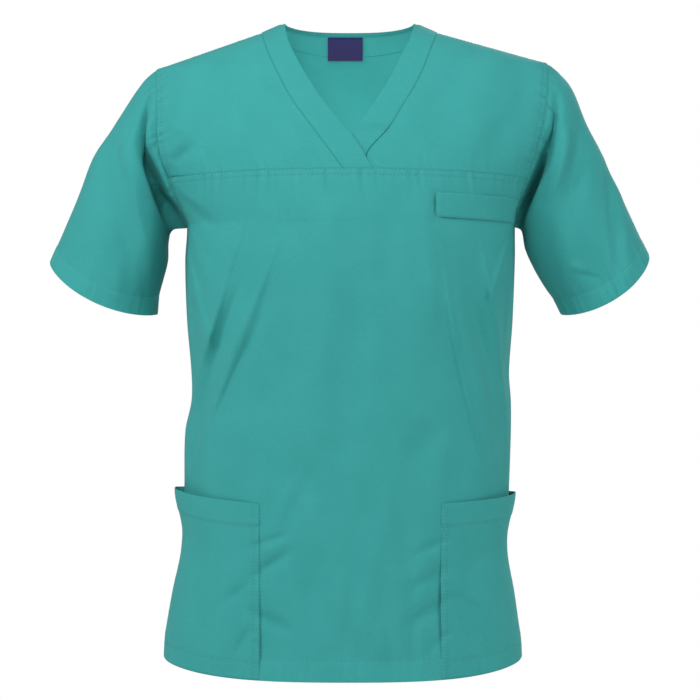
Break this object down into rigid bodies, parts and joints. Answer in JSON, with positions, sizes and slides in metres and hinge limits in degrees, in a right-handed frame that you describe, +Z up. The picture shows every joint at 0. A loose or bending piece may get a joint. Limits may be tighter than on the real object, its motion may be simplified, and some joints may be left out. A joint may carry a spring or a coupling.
{
  "type": "scrub top",
  "caption": "Short-sleeved V-neck scrub top in worn shape, hollow, with crossed neck band, front yoke, chest pocket and patch pockets.",
  "frame": {"origin": "midway between the shoulders, straight above the side seams and half way up the shoulder seams, where the wearer carries the top", "axes": "+Z up, the front faces -Y, +X is the wearer's left"},
  "size_m": [0.6799, 0.2806, 0.7348],
  "materials": {
    "poplin": "plain-woven polyester and cotton poplin, teal",
    "band": "the same poplin doubled over interlining, teal",
    "pocket": "the same poplin, topstitched, teal",
    "label": "woven satin label, navy, blank"
  },
  "bodies": {
    "root": {"front_body": "poplin", "front_yoke_right": "poplin", "front_yoke_left": "poplin", "back_panel": "poplin", "sleeve_right": "poplin", "sleeve_left": "poplin", "neck_band_right": "band", "neck_band_left": "band", "neck_band_back": "band", "chest_pocket_welt": "pocket", "patch_pocket_right": "pocket", "patch_pocket_left": "pocket", "neck_label": "label"}
  },
  "joints": []
}
